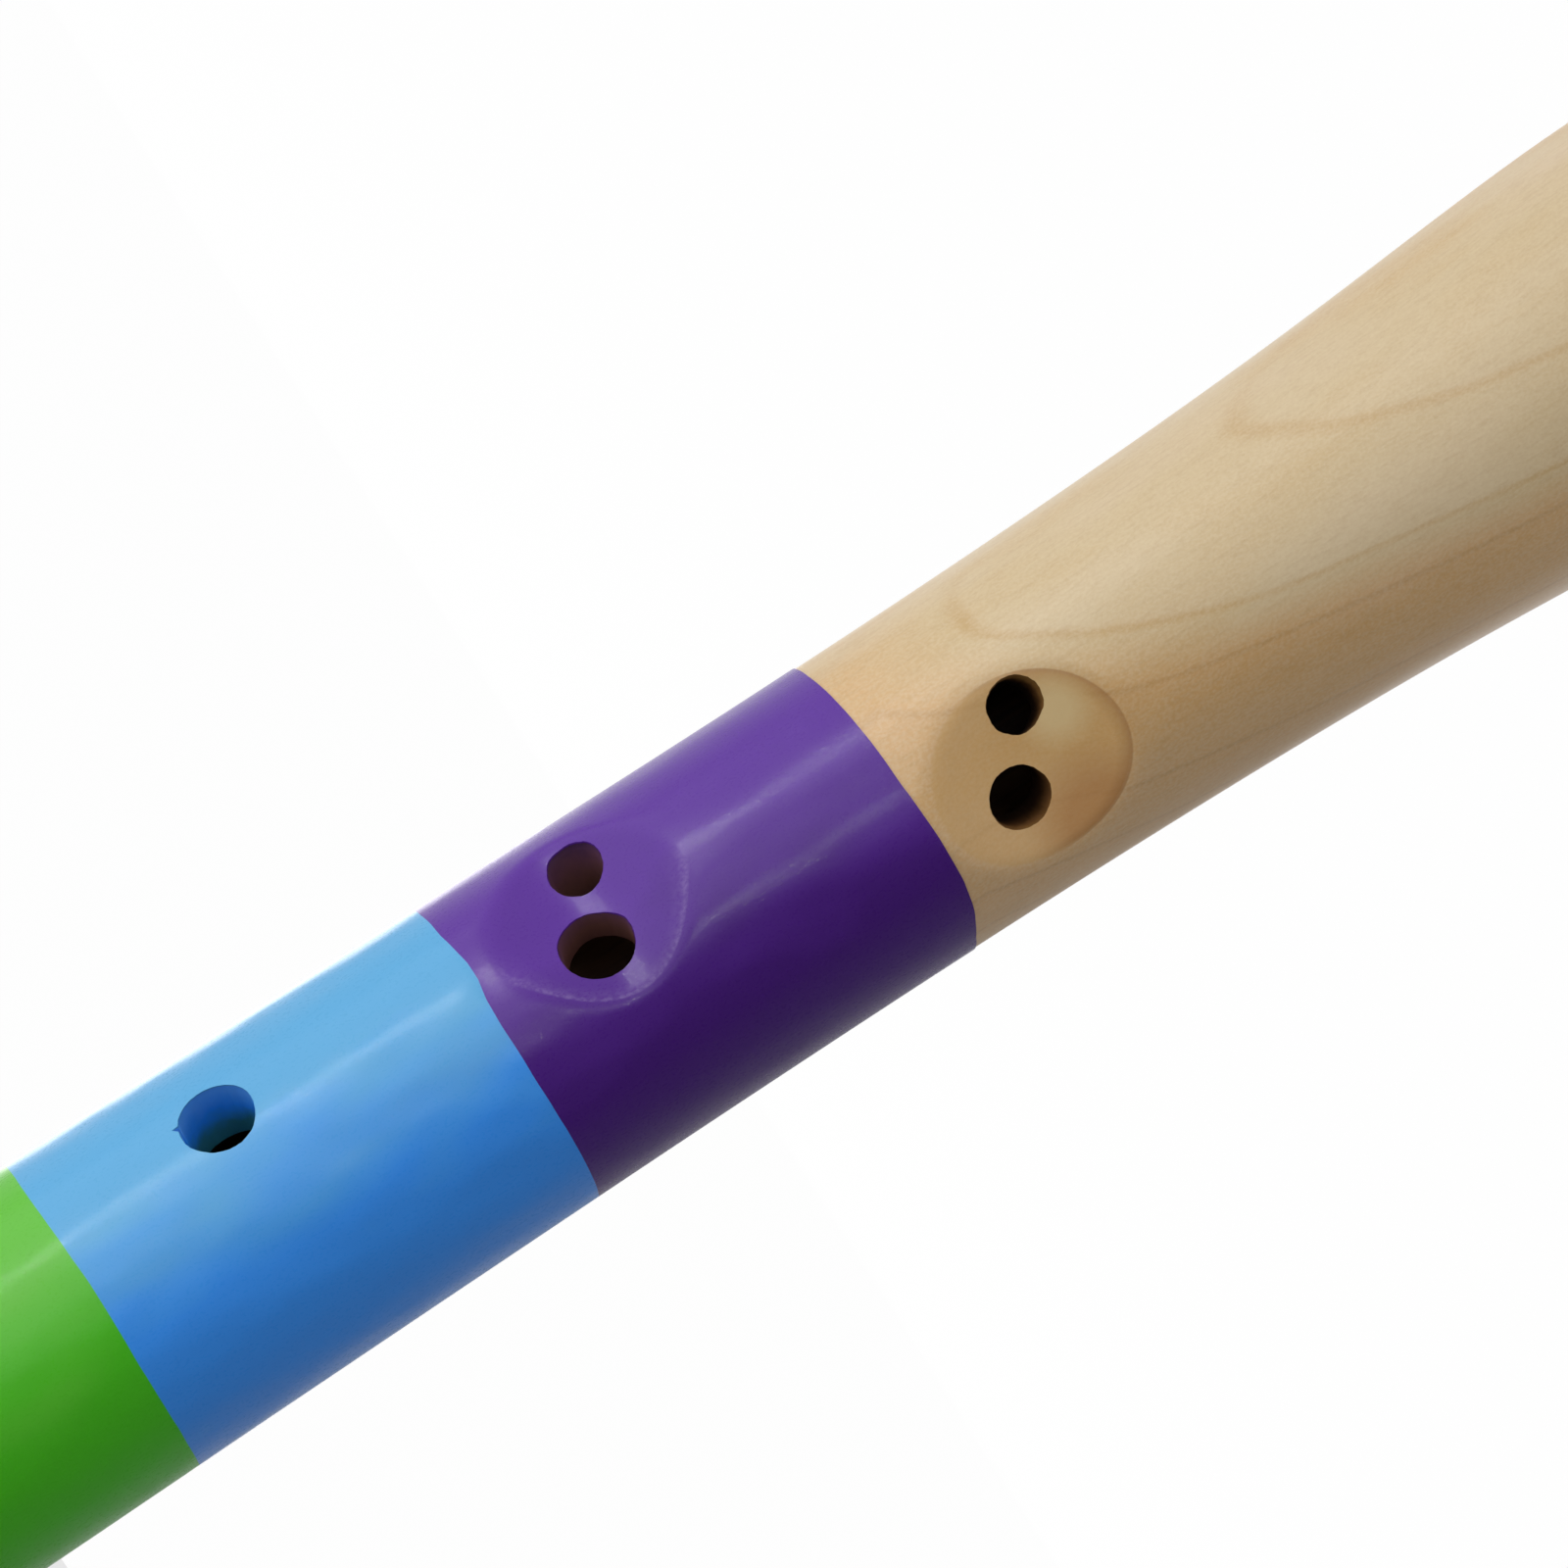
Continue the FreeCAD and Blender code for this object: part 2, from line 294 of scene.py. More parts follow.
def outside(height):
    """Radius of the turned outside of the body joint at a height."""
    for (low, r_low, lean_low), (high, r_high, lean_high) in zip(TEMPLATE, TEMPLATE[1:]):
        if height <= high:
            break
    share = (height - low) / (high - low)
    bend = (high - low) * share * (1 - share) * (lean_low * (1 - share) - lean_high * share)
    return r_low + (r_high - r_low) * share * share * (3 - 2 * share) + bend


def bore(height):
    """Radius of the bore of the body joint at a height."""
    share = max(0.0, (height - FOOT_BORE_LENGTH) / (TENON_TOP - FOOT_BORE_LENGTH))
    return FOOT_BORE_RADIUS + share * (TENON_BORE_RADIUS - FOOT_BORE_RADIUS)


def facing(turn):
    """Level direction at a turn from the front towards the player's right hand."""
    angle = math.radians(turn)
    return Vector((-math.sin(angle), -math.cos(angle), 0.0))


def across(turn):
    """Level direction along the surface at a turn, towards greater turns."""
    angle = math.radians(turn)
    return Vector((-math.cos(angle), math.sin(angle), 0.0))


def dish_floor(dish, height):
    """How far out from the axis the floor of a dish lies at a height."""
    centre, turn, depth, half_length, ease, softness = DISHES[dish]
    share = 1 - ((height - centre) / half_length) ** 2
    return outside(centre) - depth * share * abs(share) ** (ease - 1)


def levels(low, high, wide):
    """Heights from low to high, wide apart but close together where a dish lies."""
    heights = [low]
    while heights[-1] < high:
        near = any(abs(heights[-1] - dish[0]) < FINE_REACH for dish in DISHES)
        heights.append(heights[-1] + (FINE_STEP if near else wide))
    heights[-1] = high
    if heights[-1] - heights[-2] < LEAST_STEP:
        del heights[-2]
    return heights


def rounded(centre_radius, centre_height, radius, start, end):
    """Points of a rounded edge in the lathe profile, as (radius, height)."""
    points = []
    for i in range(ROUND_STEPS + 1):
        turn = math.radians(start + (end - start) * i / ROUND_STEPS)
        points.append((centre_radius + radius * math.cos(turn), centre_height + radius * math.sin(turn)))
    return points


def turn_on_lathe(name, profile, sides):
    """Closed piece spun about Z from a closed profile of (radius, height) points."""
    bpy.ops.object.select_all(action="DESELECT")
    bpy.ops.mesh.primitive_plane_add(size=MM)
    piece = bpy.context.object
    piece.name = name
    piece.data.name = name
    bpy.ops.object.mode_set(mode="EDIT")
    bpy.ops.mesh.merge(type="CENTER")
    bpy.ops.transform.translate(value=(profile[0][0] * MM, 0, profile[0][1] * MM))
    for before, after in zip(profile, profile[1:]):
        move = ((after[0] - before[0]) * MM, 0, (after[1] - before[1]) * MM)
        bpy.ops.mesh.extrude_region_move(TRANSFORM_OT_translate={"value": move})
    bpy.ops.mesh.select_all(action="SELECT")
    bpy.ops.mesh.edge_face_add()
    bpy.ops.mesh.delete(type="ONLY_FACE")
    bpy.ops.mesh.select_all(action="SELECT")
    bpy.ops.mesh.spin(steps=sides, angle=math.tau, center=(0, 0, 0), axis=(0, 0, 1))
    bpy.ops.mesh.select_all(action="SELECT")
    bpy.ops.mesh.remove_doubles(threshold=MERGE_DISTANCE * MM)
    bpy.ops.mesh.normals_make_consistent(inside=False)
    bpy.ops.object.mode_set(mode="OBJECT")
    return piece


def sand_dishes(piece, inner_lift, outer_lift):
    """Sinks the skin of a turned piece into the dishes, with softly rounded rims.
    The lifts say how far the inner and outer faces of the piece stand off the wood."""
    for vertex in piece.data.vertices:
        place = vertex.co / MM
        reach = math.hypot(place.x, place.y)
        if reach < SKIN_LEAST or place.z > BODY_LENGTH:
            continue
        middle_skin = outside(place.z) + (inner_lift + outer_lift) / 2
        lift = outer_lift if reach > middle_skin - SKIN_MARGIN else inner_lift
        for dish, (height, turn, depth, half_length, ease, softness) in enumerate(DISHES):
            out = place.dot(facing(turn))
            if abs(place.z - height) > DISH_REACH or out < DISH_SIDE:
                continue
            floor = dish_floor(dish, place.z) + lift
            share = max(softness - abs(out - floor), 0.0) / softness
            sunk = min(out, floor) - share * share * softness / 4
            place += facing(turn) * (sunk - out)
        vertex.co = place * MM


def mark_sanding(piece):
    """Stores on each point how deep the sanding cut there, in millimetres."""
    sanded = piece.data.attributes.new("sanded", "FLOAT", "POINT")
    for vertex in piece.data.vertices:
        place = vertex.co / MM
        deepest = -1.0
        for dish, (height, turn, depth, half_length, ease, softness) in enumerate(DISHES):
            if abs(place.z - height) < DISH_REACH and place.dot(facing(turn)) > DISH_SIDE:
                beside = place.dot(across(turn))
                turned = math.sqrt(max(outside(place.z) ** 2 - beside ** 2, 0.0))
                deepest = max(deepest, turned - dish_floor(dish, place.z))
        sanded.data[vertex.index].value = deepest


def hole_cutter(foot, out, reach, radius, seed, wall, chip=0.0):
    """Cutter for one hole: a rod with a slightly uneven edge, and a broken rim where
    it comes out at its reach. A chip pulls one point of the edge out."""
    rod = reach - RIM_DEPTH
    bpy.ops.object.select_all(action="DESELECT")
    bpy.ops.mesh.primitive_cylinder_add(vertices=HOLE_SIDES, radius=radius * MM, depth=rod * MM)
    cutter = bpy.context.object
    bpy.ops.object.mode_set(mode="EDIT")
    bpy.ops.transform.translate(value=(0, 0, rod / 2 * MM))
    bpy.ops.mesh.select_all(action="DESELECT")
    mesh = bmesh.from_edit_mesh(cutter.data)
    for face in mesh.faces:
        face.select = face.normal.z > 0.9
    bmesh.update_edit_mesh(cutter.data)
    for rise, wider in RIM_STEPS:
        bpy.ops.mesh.extrude_region_move(TRANSFORM_OT_translate={"value": (0, 0, rise * MM)})
        share = 1 + wider / radius
        bpy.ops.transform.resize(value=(share, share, 1), center_override=(0, 0, 0))
    bpy.ops.object.mode_set(mode="OBJECT")
    for vertex in cutter.data.vertices:
        around = Vector((vertex.co.x, vertex.co.y, 0)).normalized()
        uneven = 0.0
        for size, fineness, shift in HOLE_WANDER:
            uneven += size * noise.noise(around * fineness + Vector((seed, shift, 0)))
        if abs(math.degrees(math.atan2(around.y, around.x)) - CHIP_TURN) < CHIP_HALF_WIDTH:
            uneven += chip
        vertex.co += around * uneven * MM
    side = out.cross(Vector((0, 0, 1)))
    axes = Matrix((Vector((0, 0, 1)), side, out)).transposed()
    cutter.matrix_world = Matrix.Translation(foot * MM) @ axes.to_4x4()
    only(cutter)
    bpy.ops.object.transform_apply(location=True, rotation=True, scale=True)
    bpy.ops.object.mode_set(mode="EDIT")
    bpy.ops.mesh.select_all(action="SELECT")
    bpy.ops.mesh.normals_make_consistent(inside=False)
    bpy.ops.object.mode_set(mode="OBJECT")
    if wall:
        dress(cutter, wall)
    return cutter


def hole_cutters(lift, low, high, walls):
    """Cutters for all holes between two heights, through a skin lifted off the wood."""
    cutters = []
    for seed, (height, turn, diameter, colour) in enumerate(SINGLE_HOLES):
        if low < height < high:
            chip = CHIP_LENGTH if colour == "blue" else 0.0
            foot = Vector((0, 0, height))
            reach = outside(height) + lift
            wall = walls.get(colour)
            cutters.append(hole_cutter(foot, facing(turn), reach, diameter / 2, seed, wall, chip))
    for seed, hole in enumerate(DOUBLE_HOLES, start=FIRST_DOUBLE_SEED):
        height, dish, diameter, offset, lean, colour = hole
        if low < height < high:
            turn = DISHES[dish][1]
            angle = math.radians(lean)
            out = facing(turn) * math.cos(angle) - across(turn) * math.sin(angle)
            floor = dish_floor(dish, height)
            foot = Vector((0, 0, height)) + across(turn) * (offset + floor * math.tan(angle))
            reach = (floor + lift) / math.cos(angle)
            cutters.append(hole_cutter(foot, out, reach, diameter / 2, seed, walls.get(colour)))
    return cutters


def cut_away(piece, cutters):
    """Cuts a set of cutters out of a piece, and deletes them."""
    only(cutters[0])
    for cutter in cutters[1:]:
        cutter.select_set(True)
    if len(cutters) > 1:
        bpy.ops.object.join()
    tool = bpy.context.object
    only(piece)
    cut = piece.modifiers.new("holes", "BOOLEAN")
    cut.operation = "DIFFERENCE"
    cut.solver = "EXACT"
    cut.material_mode = "TRANSFER"
    cut.object = tool
    bpy.ops.object.modifier_apply(modifier=cut.name)
    bpy.data.objects.remove(tool, do_unlink=True)


def smooth(piece):
    """Shades a piece smooth, and leaves its real edges sharp."""
    only(piece)
    bpy.ops.object.shade_smooth_by_angle(angle=SMOOTH_ANGLE)


def dress(piece, material):
    """Gives a piece one material and no other."""
    piece.data.materials.clear()
    piece.data.materials.append(material)


def body_profile():
    """Closed profile of the wooden body joint, up the outside and down the bore."""
    points = [(FOOT_BORE_RADIUS + FOOT_BORE_CHAMFER, 0.0)]
    points += rounded(FOOT_RADIUS - FOOT_ROUND, FOOT_ROUND, FOOT_ROUND, -90, -3)
    rise = levels(FOOT_ROUND + FOOT_CLEAR, BODY_LENGTH - SHOULDER_ROUND - SHOULDER_CLEAR, WOOD_STEP)
    points += [(outside(height), height) for height in rise]
    points += rounded(SHOULDER_RADIUS - SHOULDER_ROUND, BODY_LENGTH - SHOULDER_ROUND, SHOULDER_ROUND, 0, 90)
    points += [(TENON_RADIUS, BODY_LENGTH), (TENON_RADIUS, CORK_LOW), (CORK_SEAT_RADIUS, CORK_LOW)]
    points += [(CORK_SEAT_RADIUS, CORK_HIGH), (TENON_RADIUS, CORK_HIGH)]
    points += rounded(TENON_RADIUS - TENON_ROUND, TENON_TOP - TENON_ROUND, TENON_ROUND, 0, 90)
    points += [(TENON_BORE_RADIUS + TENON_BORE_CHAMFER, TENON_TOP)]
    down = [TENON_TOP - TENON_BORE_CHAMFER]
    down += [TENON_TOP - BORE_START - BORE_STEP * i for i in range(BORE_STEPS)]
    down += [FOOT_BORE_LENGTH, FOOT_BORE_LENGTH / 2, FOOT_BORE_CHAMFER]
    points += [(bore(height), height) for height in down]
    return points


def make_body(wood, bored, walls):
    """Wooden body joint with its dishes sanded and its holes drilled."""
    piece = turn_on_lathe("turned_body", body_profile(), WOOD_SIDES)
    dress(piece, wood)
    sand_dishes(piece, 0.0, 0.0)
    piece.data.materials.append(bored)
    for face in piece.data.polygons:
        reach = math.hypot(face.center.x, face.center.y) / MM
        if reach < bore(face.center.z / MM) + BORE_SKIN:
            face.material_index = 1
    cut_away(piece, hole_cutters(0.0, 0.0, BODY_LENGTH, walls))
    smooth(piece)
    mark_sanding(piece)
    return piece


def edge_rise(edge, turn):
    """How far a masked edge rises above its height at a turn."""
    turns, rises = zip(*EDGE_WANDER[edge])
    fine = FINE_WANDER * noise.noise(facing(turn) * FINE_WANDER_SCALE + Vector((0, 0, edge)))
    return float(numpy.interp(turn, turns, rises, period=360)) + fine


def make_coat(band):
    """Thin closed coat of lacquer between two masked edges."""
    low, high = BAND_EDGES[band], BAND_EDGES[band + 1]
    rise = levels(low, high, COAT_STEP)
    points = [(outside(height) - COAT_SUNK, height) for height in reversed(rise)]
    points += [(outside(height) + COAT, height) for height in rise]
    piece = turn_on_lathe("lacquer_" + BANDS[band] + "_coat", points, COAT_SIDES)
    for vertex in piece.data.vertices:
        turn = math.degrees(math.atan2(-vertex.co.x, -vertex.co.y))
        height = vertex.co.z / MM
        near_low = max(0.0, 1.0 - (height - low) / WANDER_FADE)
        near_high = max(0.0, 1.0 - (high - height) / WANDER_FADE)
        vertex.co.z += (near_low * edge_rise(band, turn) + near_high * edge_rise(band + 1, turn)) * MM
    sand_dishes(piece, -COAT_SUNK, COAT)
    cut_away(piece, hole_cutters(COAT, low, high, {}))
    smooth(piece)
    mark_sanding(piece)
    return piece


def node(tree, kind, inputs, stops=(), **settings):
    """Adds one shader node with its settings, its colour stops, and the links or
    values of its inputs. A Mix node's factor and colours are its inputs 0, 6 and 7."""
    made = tree.nodes.new(kind)
    for name, value in settings.items():
        setattr(made, name, value)
    for name, value in inputs.items():
        if isinstance(value, bpy.types.NodeSocket):
            tree.links.new(value, made.inputs[name])
        else:
            made.inputs[name].default_value = value
    for i, (place, colour) in enumerate(stops):
        if i >= len(made.color_ramp.elements):
            made.color_ramp.elements.new(1.0)
        made.color_ramp.elements[i].position = place
        made.color_ramp.elements[i].color = linear(colour)
    return made


def new_material(name):
    """New material with an empty tree of nodes, and the tree."""
    material = bpy.data.materials.new(name)
    material.use_nodes = True
    material.node_tree.nodes.clear()
    return material, material.node_tree


def grain(tree, place, wide, long, detail=2.0, seed=0.0):
    """Noise drawn out along the grain, with its width and length in millimetres."""
    stretch = node(tree, "ShaderNodeMapping", {
        "Vector": place, "Location": (seed, -seed, seed / 2),
        "Scale": (1 / (wide * MM), 1 / (wide * MM), 1 / (long * MM))})
    return node(tree, "ShaderNodeTexNoise", {
        "Vector": stretch.outputs[0], "Scale": 1.0, "Detail": detail, "Roughness": 0.55}).outputs[0]


def reach_from_axis(tree, place):
    """Distance from the recorder's axis, in metres."""
    level = node(tree, "ShaderNodeVectorMath", {0: place, 1: (1, 1, 0)}, operation="MULTIPLY")
    return node(tree, "ShaderNodeVectorMath", {0: level.outputs[0]}, operation="LENGTH").outputs["Value"]


def ring_stops():
    """Colour stops for the growth rings: each ring darkens slowly to a thin soft line,
    and the next one starts pale. Rings on the lit front take paler colours, a painted
    highlight, and the rest browner ones, painted shade."""
    stops = [(0.0, "#d2a66c")]
    for depth in RING_DEPTHS:
        # Browner colours for the shaded side, painted shade; paler ones below for the lit front, a painted
        # highlight
        before, line, after = "#dca868", "#c8914e", "#ddab6c"
        if depth > LIT_FRONT_FROM:
            before, line, after = "#d7bf93", "#c8a46c", "#dbc59d"
        share = (depth + RING_REACH) / (2 * RING_REACH)
        stops += [(share - LINE_BEFORE, before), (share, line), (share + LINE_AFTER, after)]
    return stops


def growth_rings(tree, place, height):
    """Colour of the growth rings, which lean more and more across the grain and wave
    slowly along it."""
    along = node(tree, "ShaderNodeMapRange", {
        "Value": height, "From Min": LEAN_LOW * MM, "From Max": LEAN_HIGH * MM,
        "To Min": 0.0, "To Max": LEAN_HIGH - LEAN_LOW})
    bend = node(tree, "ShaderNodeMath", {
        0: along.outputs[0], 1: LEAN_GAIN, 2: LEAN_START}, operation="MULTIPLY_ADD")
    lean = node(tree, "ShaderNodeMath", {0: along.outputs[0], 1: bend.outputs[0]}, operation="MULTIPLY")
    outward = node(tree, "ShaderNodeVectorMath", {
        0: place, 1: facing(RING_TURN) / MM}, operation="DOT_PRODUCT").outputs["Value"]
    depth = node(tree, "ShaderNodeMath", {0: outward, 1: lean.outputs[0]}, operation="SUBTRACT")
    wave = grain(tree, place, wide=9.0, long=40.0, seed=1.7)
    wavy = node(tree, "ShaderNodeMath", {
        0: wave, 1: RING_WAVE, 2: depth.outputs[0]}, operation="MULTIPLY_ADD")
    share = node(tree, "ShaderNodeMapRange", {
        "Value": wavy.outputs[0], "From Min": RING_WAVE / 2 - RING_REACH,
        "From Max": RING_WAVE / 2 + RING_REACH, "To Min": 0.0, "To Max": 1.0})
    return node(tree, "ShaderNodeValToRGB", {"Fac": share.outputs[0]}, stops=ring_stops()).outputs[0]


def clouded(tree, place, colour):
    """Soft clouds of pink and yellow over a colour, which take over on one side."""
    cloud = grain(tree, place, wide=6.0, long=22.0, detail=3.0, seed=3.1)
    clouds = node(tree, "ShaderNodeValToRGB", {"Fac": cloud}, stops=[
        (0.30, "#e4ccaa"), (0.46, "#ddc398"), (0.58, "#d7b57f"), (0.75, "#d0a86b")])
    beside = node(tree, "ShaderNodeVectorMath", {
        0: place, 1: across(RING_TURN)}, operation="DOT_PRODUCT").outputs["Value"]
    share = node(tree, "ShaderNodeMapRange", {
        "Value": beside, "From Min": CLOUDS_FULL * MM, "From Max": CLOUDS_FAINT * MM,
        "To Min": 0.9, "To Max": 0.35})
    return node(tree, "ShaderNodeMix", {
        0: share.outputs[0], 6: colour, 7: clouds.outputs[0]}, data_type="RGBA").outputs[2]


def speckled(tree, place, fibres, colour):
    """Dark fibres and a fine pale speckle over a colour."""
    fibre_share = node(tree, "ShaderNodeMapRange", {
        "Value": fibres, "From Min": 0.45, "From Max": 0.8, "To Min": 0.0, "To Max": 0.22})
    fibrous = node(tree, "ShaderNodeMix", {
        0: fibre_share.outputs[0], 6: colour, 7: linear("#b48c58")}, data_type="RGBA")
    speckle = grain(tree, place, wide=0.17, long=0.24, detail=1.0, seed=5.7)
    speckle_share = node(tree, "ShaderNodeMapRange", {
        "Value": speckle, "From Min": 0.35, "From Max": 0.7, "To Min": 0.0, "To Max": 0.25})
    return node(tree, "ShaderNodeMix", {
        0: speckle_share.outputs[0], 6: fibrous.outputs[2], 7: linear("#ecdcb9")},
        data_type="RGBA").outputs[2]


def sanded_bare(tree, place, height, sanded, colour):
    """Colour of wood where the dish is sanded bare: browner, and more so where it cut
    through a dark ring, with a painted highlight on its floor and a painted shade line along
    the part of its rim towards the foot."""
    bare_share = node(tree, "ShaderNodeMapRange", {
        "Value": sanded, "From Min": 0.02, "From Max": 0.15, "To Min": 0.0, "To Max": 0.5})
    colour = node(tree, "ShaderNodeMix", {
        0: bare_share.outputs[0], 6: colour, 7: linear("#d8ab67")}, data_type="RGBA").outputs[2]
    # The pale patch is a painted highlight, the dark one a ring that the sanding cut through
    for turn, reach, rise, begins, full, strength, tint in DISH_HIGHLIGHT_AND_RING_CUT:
        centre = facing(turn) * reach * MM + Vector((0, 0, rise * MM))
        distance = node(tree, "ShaderNodeVectorMath", {
            0: place, 1: centre}, operation="DISTANCE").outputs["Value"]
        near = node(tree, "ShaderNodeMapRange", {
            "Value": distance, "From Min": begins * MM, "From Max": full * MM,
            "To Min": 0.0, "To Max": strength})
        share = node(tree, "ShaderNodeMath", {
            0: bare_share.outputs[0], 1: near.outputs[0]}, operation="MULTIPLY")
        colour = node(tree, "ShaderNodeMix", {
            0: share.outputs[0], 6: colour, 7: linear(tint)}, data_type="RGBA").outputs[2]
    # Painted shade: a dark line in the rounded rim of the dish, towards the foot
    rim_shade_line = node(tree, "ShaderNodeValToRGB", {"Fac": sanded}, stops=[
        (0.0, "#000000"), (0.05, "#ffffff"), (0.2, "#cccccc"), (0.5, "#000000")])
    foot_share = node(tree, "ShaderNodeMapRange", {
        "Value": height, "From Min": RIM_SHADE_GONE * MM, "From Max": RIM_SHADE_FULL * MM,
        "To Min": 0.0, "To Max": 0.6})
    rim_shade_share = node(tree, "ShaderNodeMath", {
        0: rim_shade_line.outputs[0], 1: foot_share.outputs[0]}, operation="MULTIPLY")
    return node(tree, "ShaderNodeMix", {
        0: rim_shade_share.outputs[0], 6: colour, 7: linear("#a9743f")}, data_type="RGBA").outputs[2]


def turned_maple(name, bore_radius):
    """Maple turned on a lathe, rubbed with oil and wax. Pale and creamy, with growth rings, soft
    clouds, a fine speckle, and a satin shine. Its rings are paler on the lit front and browner on
    the shaded side, as painted light and shade. The dish is sanded bare and duller, and within
    the bore's radius, where it is not 0, the wood is dark from its oil and from painted shade."""
    material, tree = new_material(name)
    place = node(tree, "ShaderNodeTexCoord", {}).outputs["Object"]
    height = node(tree, "ShaderNodeSeparateXYZ", {"Vector": place}).outputs["Z"]
    sanded = node(tree, "ShaderNodeAttribute", {}, attribute_name="sanded").outputs["Fac"]
    fibres = grain(tree, place, wide=0.25, long=1.6, seed=1.3)
    colour = growth_rings(tree, place, height)
    colour = clouded(tree, place, colour)
    colour = speckled(tree, place, fibres, colour)
    colour = sanded_bare(tree, place, height, sanded, colour)
    # Dark inside the bore: oil, and painted shade where little light reaches
    in_bore = node(tree, "ShaderNodeMapRange", {
        "Value": reach_from_axis(tree, place), "From Min": (bore_radius + BORE_DARK_GONE) * MM,
        "From Max": (bore_radius + BORE_DARK_FULL) * MM, "To Min": 0.0, "To Max": 0.85})
    oiled_and_shaded = node(tree, "ShaderNodeMix", {
        0: in_bore.outputs[0], 6: colour, 7: linear("#4a3019")}, data_type="RGBA")
    rough = node(tree, "ShaderNodeMapRange", {
        "Value": sanded, "From Min": 0.0, "From Max": 0.15, "To Min": 0.4, "To Max": 0.55})
    bump = node(tree, "ShaderNodeBump", {"Height": fibres, "Strength": 0.08, "Distance": 0.0002})
    shader = node(tree, "ShaderNodeBsdfPrincipled", {
        "Base Color": oiled_and_shaded.outputs[2], "Roughness": rough.outputs[0], "IOR": 1.5,
        "Normal": bump.outputs[0], "Coat Weight": 0.3, "Coat Roughness": 0.3, "Coat IOR": 1.45})
    node(tree, "ShaderNodeOutputMaterial", {"Surface": shader.outputs[0]})
    return material


def oil_and_shade_bore(name):
    """Bore of the body joint, reamed and treated with oil: dark brown and nearly matt, darker still as
    painted shade.
    """
    material, tree = new_material(name)
    place = node(tree, "ShaderNodeTexCoord", {}).outputs["Object"]
    fibres = grain(tree, place, wide=0.5, long=12.0, seed=2.2)
    # Dark browns: oil, and painted shade deep in the bore
    wood = node(tree, "ShaderNodeValToRGB", {"Fac": fibres}, stops=[(0.35, "#573a20"), (0.7, "#3a2512")])
    shader = node(tree, "ShaderNodeBsdfPrincipled", {"Base Color": wood.outputs[0], "Roughness": 0.55})
    node(tree, "ShaderNodeOutputMaterial", {"Surface": shader.outputs[0]})
    return material


def hole_wall(name, near_rim, halfway, deep):
    """Wall of a drilled hole: end grain darkened by oil, with lacquer that ran in from the rim and
    thins out towards the bore. Its colours also hold painted shade, as little light reaches inside."""
    material, tree = new_material(name)
    place = node(tree, "ShaderNodeTexCoord", {}).outputs["Object"]
    # Lacquer runs in from the rim, and painted shade deepens the colours inside the hole
    run_and_shade = node(tree, "ShaderNodeMapRange", {
        "Value": reach_from_axis(tree, place), "From Min": WALL_DARK * MM,
        "From Max": WALL_BRIGHT * MM, "To Min": 0.0, "To Max": 1.0})
    wander = node(tree, "ShaderNodeMath", {
        0: grain(tree, place, wide=1.2, long=1.2, seed=4.0), 1: 0.3, 2: run_and_shade.outputs[0]},
        operation="MULTIPLY_ADD")
    wood = node(tree, "ShaderNodeValToRGB", {"Fac": wander.outputs[0]}, stops=[
        (0.3, deep), (0.62, halfway), (0.9, near_rim)])
    shader = node(tree, "ShaderNodeBsdfPrincipled", {"Base Color": wood.outputs[0], "Roughness": 0.5})
    node(tree, "ShaderNodeOutputMaterial", {"Surface": shader.outputs[0]})
    return material


def rim_highlight(tree, place, rightward, colour):
    """Painted highlight along the rim of a dish: paler lacquer, strongest on the player's
    right and broken up into fine streaks."""
    sanded = node(tree, "ShaderNodeAttribute", {}, attribute_name="sanded").outputs["Fac"]
    # Painted highlight: a paler rim on the player's right, broken up into streaks
    rim = node(tree, "ShaderNodeValToRGB", {"Fac": sanded}, stops=[
        (0.0, "#000000"), (0.08, "#ffffff"), (0.22, "#a0a0a0"), (0.55, "#000000")])
    low_side = node(tree, "ShaderNodeMapRange", {
        "Value": rightward, "From Min": 0.03, "From Max": 0.14, "To Min": 0.0, "To Max": 0.24})
    highlight_breakup = node(tree, "ShaderNodeMapRange", {
        "Value": grain(tree, place, wide=0.22, long=0.3, seed=7.0), "From Min": 0.4, "From Max": 0.62,
        "To Min": 0.25, "To Max": 1.0})
    low_rim = node(tree, "ShaderNodeMath", {
        0: rim.outputs[0], 1: low_side.outputs[0]}, operation="MULTIPLY")
    highlight_share = node(tree, "ShaderNodeMath", {
        0: low_rim.outputs[0], 1: highlight_breakup.outputs[0]}, operation="MULTIPLY")
    return node(tree, "ShaderNodeMix", {
        0: highlight_share.outputs[0], 6: colour, 7: linear("#c4b0e2")}, data_type="RGBA").outputs[2]


